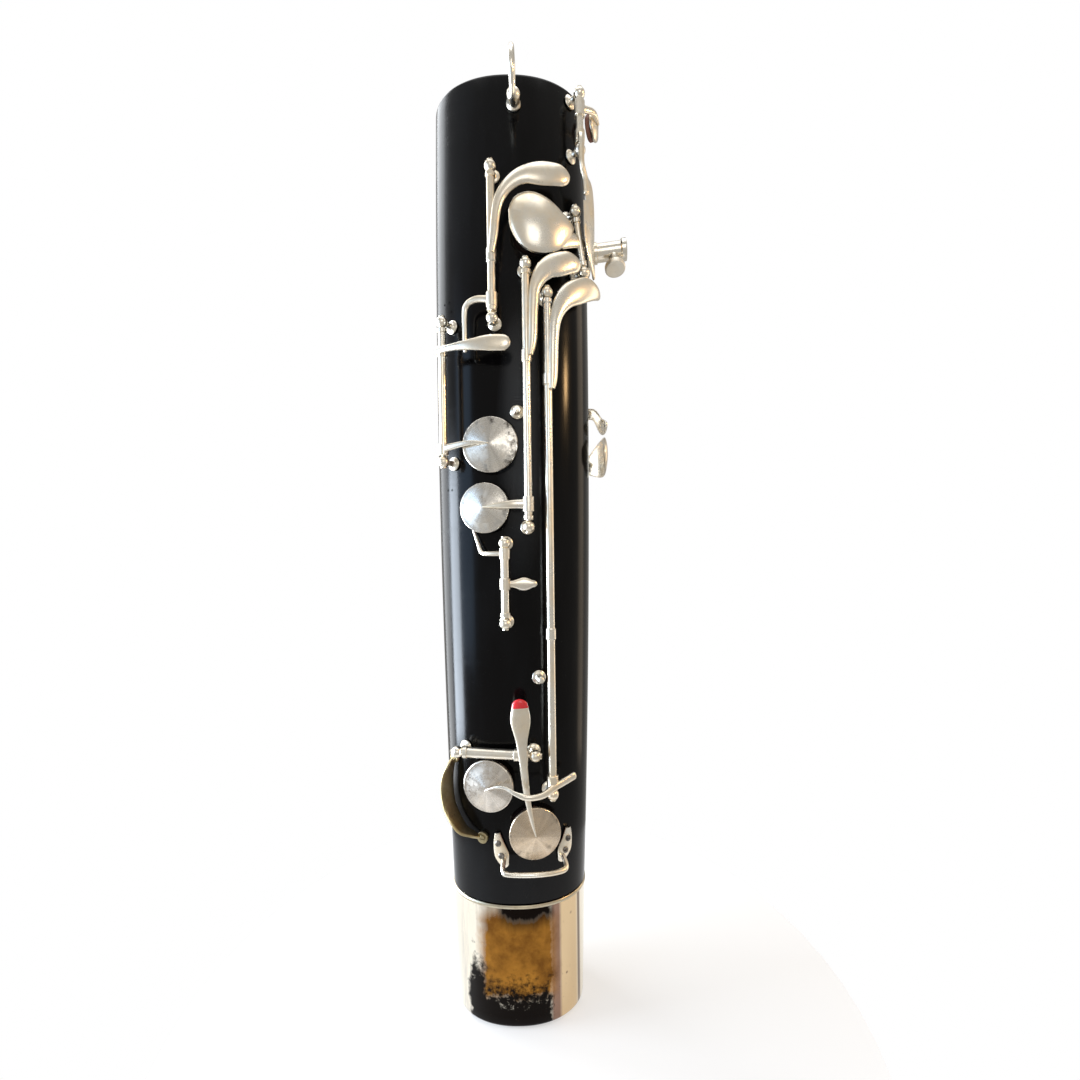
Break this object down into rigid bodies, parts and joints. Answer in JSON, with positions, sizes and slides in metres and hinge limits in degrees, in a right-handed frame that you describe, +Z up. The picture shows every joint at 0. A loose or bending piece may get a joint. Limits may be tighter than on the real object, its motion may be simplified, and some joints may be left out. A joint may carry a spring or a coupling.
{
  "type": "bassoon boot joint",
  "caption": "Bassoon boot joint: a double-bored oval body on a metal cap, with hinged keys on ball posts, padded tone holes, two sockets, a strap ring and a hand rest socket.",
  "frame": {"origin": "centre of the cap's flat underside, where the boot stands", "axes": "+Z up along the bores to the sockets, -Y towards the player's thumb side, +X towards the wing joint's socket"},
  "size_m": [0.0951, 0.089, 0.43],
  "materials": {
    "ebonite": "polished black hard rubber with faint rubbing",
    "cap_metal": "polished nickel silver with brown and black tarnish",
    "key_metal": "worn nickel silver, satin on the touches and polished at their ends",
    "post_metal": "polished nickel silver",
    "guard_metal": "tarnished nickel silver, olive inside",
    "liner_metal": "drawn nickel silver tube",
    "brass": "dull brass tube",
    "cork": "sheet cork",
    "pad_leather": "kid leather pad"
  },
  "bodies": {
    "boot": {"boot_body": "ebonite", "bass_socket_liner": "liner_metal", "wing_socket_liner": "liner_metal", "u_tube": "brass", "u_tube_gasket": "cork", "strap_ring_post": "post_metal", "hand_rest_socket": "post_metal", "curved_pad_guard": "guard_metal", "bar_pad_guard": "key_metal", "bflat_lever_post_low": "post_metal", "bflat_lever_post_high": "post_metal", "bflat_pad_post_low": "post_metal", "bflat_pad_post_high": "post_metal", "low_e_post_low": "post_metal", "low_e_post_high": "post_metal", "fsharp_post_low": "post_metal", "fsharp_post_high": "post_metal", "fsharp_post_middle": "post_metal", "link_lever_post_low": "post_metal", "link_lever_post_high": "post_metal", "gsharp_post_low": "post_metal", "gsharp_post_high": "post_metal", "gsharp_post_middle": "post_metal", "red_tip_post_left": "post_metal", "red_tip_post_right": "post_metal", "side_key_post_low": "post_metal", "side_key_post_high": "post_metal", "little_finger_post_low": "post_metal", "little_finger_post_middle": "post_metal", "little_finger_post_high": "post_metal", "g_plate_post_low": "post_metal", "g_plate_post_high": "post_metal"},
    "cap": {"boot_cap": "cap_metal"},
    "strap_ring": {"strap_ring": "post_metal"},
    "hand_rest_screw": {"hand_rest_screw": "post_metal"},
    "bflat_lever": {"bflat_lever": "key_metal"},
    "bflat_pad_key": {"bflat_pad_key": "key_metal", "bflat_pad": "pad_leather"},
    "low_e_key": {"low_e_plate_key": "key_metal", "low_e_pad": "pad_leather"},
    "fsharp_key": {"fsharp_thumb_key": "key_metal", "fsharp_pad": "pad_leather"},
    "link_lever": {"link_lever": "key_metal"},
    "gsharp_key": {"gsharp_thumb_key": "key_metal", "gsharp_pad": "pad_leather"},
    "red_tip_key": {"red_tip_key": "key_metal", "red_tip_pad": "pad_leather"},
    "side_key": {"side_key": "key_metal", "side_pad": "pad_leather"},
    "low_f_key": {"low_f_key": "key_metal", "low_f_pad": "pad_leather"},
    "aflat_key": {"aflat_key": "key_metal", "aflat_pad": "pad_leather"},
    "g_plate_key": {"g_plate_key": "key_metal", "g_plate_pad": "pad_leather"}
  },
  "joints": [
    {"name": "cap_slide", "type": "slide", "parent": "boot", "child": "cap", "axis": [0, 0, -1], "range_m": [0, 0.06]},
    {"name": "strap_ring_swing", "type": "hinge", "parent": "boot", "child": "strap_ring", "pos_m": [0.00322, -0.03261, 0.4155], "axis": [0, 0, 1], "range_deg": [-50, 50]},
    {"name": "hand_rest_screw_turn", "type": "hinge", "parent": "boot", "child": "hand_rest_screw", "pos_m": [0.05065, -0.00033, 0.36593], "axis": [0.0333, -0.3336, -0.9421], "continuous": true},
    {"name": "bflat_lever_press", "type": "hinge", "parent": "boot", "child": "bflat_lever", "pos_m": [-0.00716, -0.03442, 0.3832], "axis": [0, 0, 1], "range_deg": [0, 7], "stiffness_Nm_per_rad": 0.4},
    {"name": "bflat_pad_open", "type": "hinge", "parent": "boot", "child": "bflat_pad_key", "pos_m": [-0.03034, -0.02651, 0.3196], "axis": [0, 0, 1], "range_deg": [-8, 0], "stiffness_Nm_per_rad": 0.4},
    {"name": "low_e_press", "type": "hinge", "parent": "boot", "child": "low_e_key", "pos_m": [0.03389, -0.02279, 0.3429], "axis": [-0.148, -0.1155, 0.9822], "range_deg": [-5, 0], "stiffness_Nm_per_rad": 0.4},
    {"name": "fsharp_press", "type": "hinge", "parent": "boot", "child": "fsharp_key", "pos_m": [0.00749, -0.03458, 0.3409], "axis": [0, 0, 1], "range_deg": [0, 6], "stiffness_Nm_per_rad": 0.5},
    {"name": "link_lever_press", "type": "hinge", "parent": "boot", "child": "link_lever", "pos_m": [-0.00307, -0.03438, 0.2204], "axis": [0, 0, 1], "range_deg": [0, 10.5], "stiffness_Nm_per_rad": 0.2},
    {"name": "gsharp_press", "type": "hinge", "parent": "boot", "child": "gsharp_key", "pos_m": [0.0165, -0.03049, 0.1099], "axis": [0.001, -0.0093, 1], "range_deg": [0, 6], "stiffness_Nm_per_rad": 0.6},
    {"name": "red_tip_press", "type": "hinge", "parent": "boot", "child": "red_tip_key", "pos_m": [-0.02598, -0.02659, 0.1275], "axis": [0.9869, -0.1616, 0], "range_deg": [-4.5, 0], "stiffness_Nm_per_rad": 0.5},
    {"name": "side_key_press", "type": "hinge", "parent": "boot", "child": "side_key", "pos_m": [0.03274, -0.02307, 0.4242], "axis": [0, 0, 1], "range_deg": [0, 6], "stiffness_Nm_per_rad": 0.4},
    {"name": "low_f_press", "type": "hinge", "parent": "boot", "child": "low_f_key", "pos_m": [0.03406, 0.0221, 0.336], "axis": [0, 0, 1], "range_deg": [-6, 0], "stiffness_Nm_per_rad": 0.5},
    {"name": "aflat_press", "type": "hinge", "parent": "boot", "child": "aflat_key", "pos_m": [0.03406, 0.0221, 0.336], "axis": [0, 0, 1], "range_deg": [-6, 0], "stiffness_Nm_per_rad": 0.4},
    {"name": "g_plate_press", "type": "hinge", "parent": "boot", "child": "g_plate_key", "pos_m": [-0.02873, 0.02598, 0.245], "axis": [0, 0, 1], "range_deg": [-5, 0], "stiffness_Nm_per_rad": 0.4}
  ],
  "couplings": [
    {"joint": "bflat_pad_open", "follows": "bflat_lever_press", "ratio": -1.06},
    {"joint": "link_lever_press", "follows": "fsharp_press", "ratio": 1.7}
  ]
}
